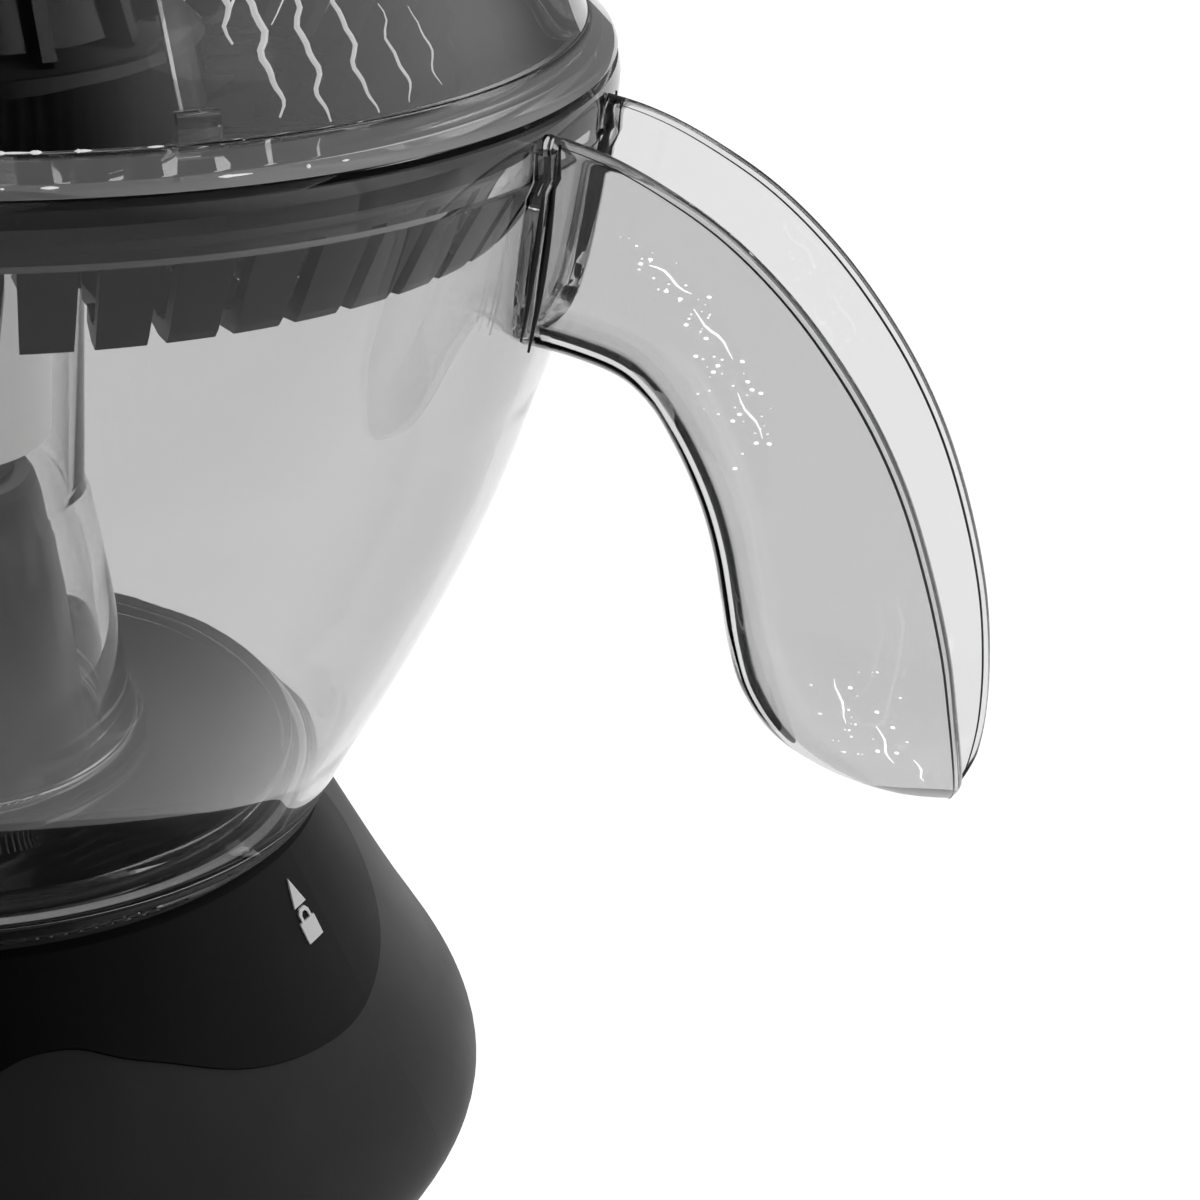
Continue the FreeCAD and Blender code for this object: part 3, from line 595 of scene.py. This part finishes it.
# Painted highlight: a glowing ring in the gutter round the jug's raised floor, with a painted shade line on
# each side of it
for name, r, z, thick, material in (("floor_glint_ring", 43.9, 55.85, 0.5, painted_glint("floor_glint_mat", 0.22)),
                                    ("floor_line_outer", 44.65, 55.7, 0.16, GREY_SHADE_LINE),
                                    ("floor_line_inner", 43.15, 55.65, 0.13, GREY_SHADE_LINE)):
    bm = bmesh.new()
    lathe(bm, [(r + thick * math.cos(a), z + thick * math.sin(a))
               for a in (2 * math.pi * k / 10 for k in range(10))], segments=192)
    bead_ring = object_from(name, bm, material, 60.0)
    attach(bead_ring, "jug")

# Painted shade: dark and grey lines along both edges of each rail, and where the handle's root meets the jug
free_stations = [station for station in dense if station[0] > 76.0]
for name, angle, inset_part, width, material in (
        ("rail_near_inner", math.pi, 0.9, 0.30, DARK_SHADE_LINE),
        ("rail_near_outer", math.pi, 0.08, 0.14, GREY_SHADE_LINE),
        ("rail_near_mid", math.pi, 0.62, 0.10, GREY_SHADE_LINE),
        ("rail_far_inner", 0.0, 0.85, 0.12, GREY_SHADE_LINE),
        ("rail_far_outer", 0.0, 0.1, 0.16, DARK_SHADE_LINE)):
    path = []
    for station in free_stations:
        place, raised = u_point(station, angle, 0.0)
        place = place + raised * 0.25
        place.y -= math.copysign(handle_bead(station) * inset_part, place.y)
        path.append(place)
    thread(name, path, width, material, "jug")
for name, y, out_low, out_high, low, top, width in (
        ("root_shade_near", -11.7, 2.2, 1.3, 121.6, 141.6, 0.34),
        ("root_shade_inner", -10.1, 2.6, 1.6, 120.0, 141.8, 0.42),
        ("root_shade_far", 10.9, 1.2, 0.6, 119.6, 142.4, 0.36)):
    path = [wall_point(y, low + (top - low) * k / 20, out_low + (out_high - out_low) * k / 20)
            for k in range(21)]
    thread(name, path, width, DARK_SHADE_LINE, "jug")

# Painted highlights: glowing white wavy runs down the inside of the cover
inner_line = [p for p in curve(dome_in, 10) if p[1] < 164.0]
bm = bmesh.new()
for turn, low, top, width in ((-35.0, 153.5, 164.0, 0.34), (-32.3, 147.6, 164.0, 0.34),
                              (-28.2, 146.9, 164.0, 0.28), (-23.8, 146.9, 164.0, 0.23),
                              (-19.4, 147.2, 156.0, 0.15), (-15.4, 147.6, 155.0, 0.1)):
    path = []
    for r, z in (q for q in inner_line if low < q[1] < top):
        sway = 0.36 * math.sin(z * 1.15 + turn) + 0.2 * math.sin(z * 2.3 + 2 * turn)
        a = math.radians(turn + sway)
        path.append(Vector(((r - 0.35) * math.cos(a), (r - 0.35) * math.sin(a), z)) / 1000)
    string(bm, path, width / 1000)
glint_runs = object_from("cover_glint_runs", bm, DIM_GLINT, 60.0)
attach(glint_runs, "cover")

# Painted highlights: glowing white dashes along the cover's rim
bm = bmesh.new()
for r, z, first, last, count in ((71.9, 147.6, -70.0, -42.0, 12), (74.6, 145.2, -72.0, -30.0, 14)):
    for k in range(count):
        start = random.uniform(first, last)
        span = random.choice((0.3, 0.6, 1.2, 2.6))
        arc = [Vector((r * math.cos(math.radians(start + span * j / 6)),
                       r * math.sin(math.radians(start + span * j / 6)), z)) / 1000 for j in range(7)]
        string(bm, arc, random.choice((0.0001, 0.00014, 0.0002)))
rim_glints = object_from("cover_rim_glints", bm, DIM_GLINT, 60.0)
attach(rim_glints, "cover")


# ---------------------------------------------------------------- camera
def aim(position, azimuth, pitch, roll, lens):
    """Camera looking along an azimuth (degrees from +Y towards +X), tipped down, then rolled."""
    a, p, r = math.radians(azimuth), math.radians(pitch), math.radians(roll)
    forward = Vector((math.sin(a) * math.cos(p), math.cos(a) * math.cos(p), -math.sin(p)))
    right = Vector((math.cos(a), -math.sin(a), 0.0))
    up = right.cross(forward)
    x_axis = right * math.cos(r) + up * math.sin(r)
    y_axis = up * math.cos(r) - right * math.sin(r)
    data = bpy.data.cameras.new("camera")
    data.sensor_width = 36.0
    data.lens = lens
    data.clip_start = 0.01
    data.clip_end = 50.0
    camera = bpy.data.objects.new("camera", data)
    turn = Matrix((x_axis, y_axis, -forward)).transposed().to_4x4()
    camera.matrix_world = Matrix.Translation(position) @ turn
    bpy.context.scene.collection.objects.link(camera)
    bpy.context.scene.camera = camera


# The viewpoint is 60 degrees round from the handle and a little above the rim
reach = 0.33675
turn = math.radians(-60)
position = Vector((reach * math.cos(turn), reach * math.sin(turn), RIM_Z + 0.0814))
aim(position, azimuth=-30.0 + 13.293, pitch=23.835, roll=4.297, lens=93.15)


# ---------------------------------------------------------------- floor and light
def plane(name, size, position):
    """Square floor plane."""
    mesh = bpy.data.meshes.new(name)
    half = size / 2
    corners = [(-half, -half, 0), (half, -half, 0), (half, half, 0), (-half, half, 0)]
    mesh.from_pydata(corners, [], [(0, 1, 2, 3)])
    obj = bpy.data.objects.new(name, mesh)
    obj.location = position
    bpy.context.scene.collection.objects.link(obj)
    return obj


floor = plane("floor", 16.0, (0, 0, -0.0016))
t = Tree("floor_mat")
t.set(Base_Color=t.tint(t.noise(3.0, 3.0), grey(0.90), grey(0.92)), Roughness=0.9)
across = t.add("ShaderNodeVectorMath", {0: t.place, 1: (0.5, -0.866, 0.0)}, operation="DOT_PRODUCT")
t.feed(t.shader, "Emission Strength", t.spread(across.outputs["Value"], FLOOR_GLOW, 0.14, 0.03, 0.15))
t.shader.inputs["Emission Color"].default_value = (1, 1, 1, 1)
floor.data.materials.append(t.material)
floor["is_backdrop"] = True


def area(name, position, target, size, power, stretch=1.0):
    """Soft rectangular lamp aimed at a point."""
    data = bpy.data.lights.new(name, "AREA")
    data.shape = "RECTANGLE"
    data.size = size
    data.size_y = size * stretch
    data.energy = power
    obj = bpy.data.objects.new(name, data)
    obj.location = position
    direction = Vector(target) - Vector(position)
    obj.rotation_mode = "QUATERNION"
    obj.rotation_quaternion = direction.to_track_quat("-Z", "Y")
    obj.visible_glossy = False
    bpy.context.scene.collection.objects.link(obj)
    return obj


area("key", (-0.5, -0.9, 1.3), (0, 0, 0.1), 0.5, 1.0, 1.4)
area("side", (1.3, -0.1, 0.7), (0, 0, 0.1), 0.5, 0.6, 1.6)


def studio():
    """World that is dim on the viewer's side, brighter behind, with one soft bright patch aside."""
    world = bpy.data.worlds.new("studio")
    world.use_nodes = True
    nodes, links = world.node_tree.nodes, world.node_tree.links
    place = nodes.new("ShaderNodeTexCoord").outputs["Generated"]

    def glow(toward, start, end, low, high, smoothing):
        """Brightness by how far the direction leans towards a point of the studio."""
        lean = nodes.new("ShaderNodeVectorMath")
        lean.operation = "DOT_PRODUCT"
        lean.inputs[1].default_value = Vector(toward).normalized()
        links.new(place, lean.inputs[0])
        spread = nodes.new("ShaderNodeMapRange")
        spread.interpolation_type = smoothing
        for key, value in (("From Min", start), ("From Max", end), ("To Min", low), ("To Max", high)):
            spread.inputs[key].default_value = value
        links.new(lean.outputs["Value"], spread.inputs["Value"])
        return spread.outputs["Result"]

    total = nodes.new("ShaderNodeMath")
    total.operation = "ADD"
    links.new(glow((0.48, -0.83, 0.28), -0.35, 0.55, WORLD_LIGHT, 0.015, "LINEAR"), total.inputs[0])
    links.new(glow((0.85, 0.35, 0.35), 0.6, 0.97, 0.0, 1.0, "SMOOTHSTEP"), total.inputs[1])
    background = nodes["Background"]
    background.inputs["Color"].default_value = (1, 1, 1, 1)
    links.new(total.outputs["Value"], background.inputs["Strength"])
    return world


bpy.context.scene.world = studio()

scene = bpy.context.scene
scene.view_settings.view_transform = "Standard"
scene.view_settings.look = "None"

# ---------------------------------------------------------------- sizes
low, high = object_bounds()
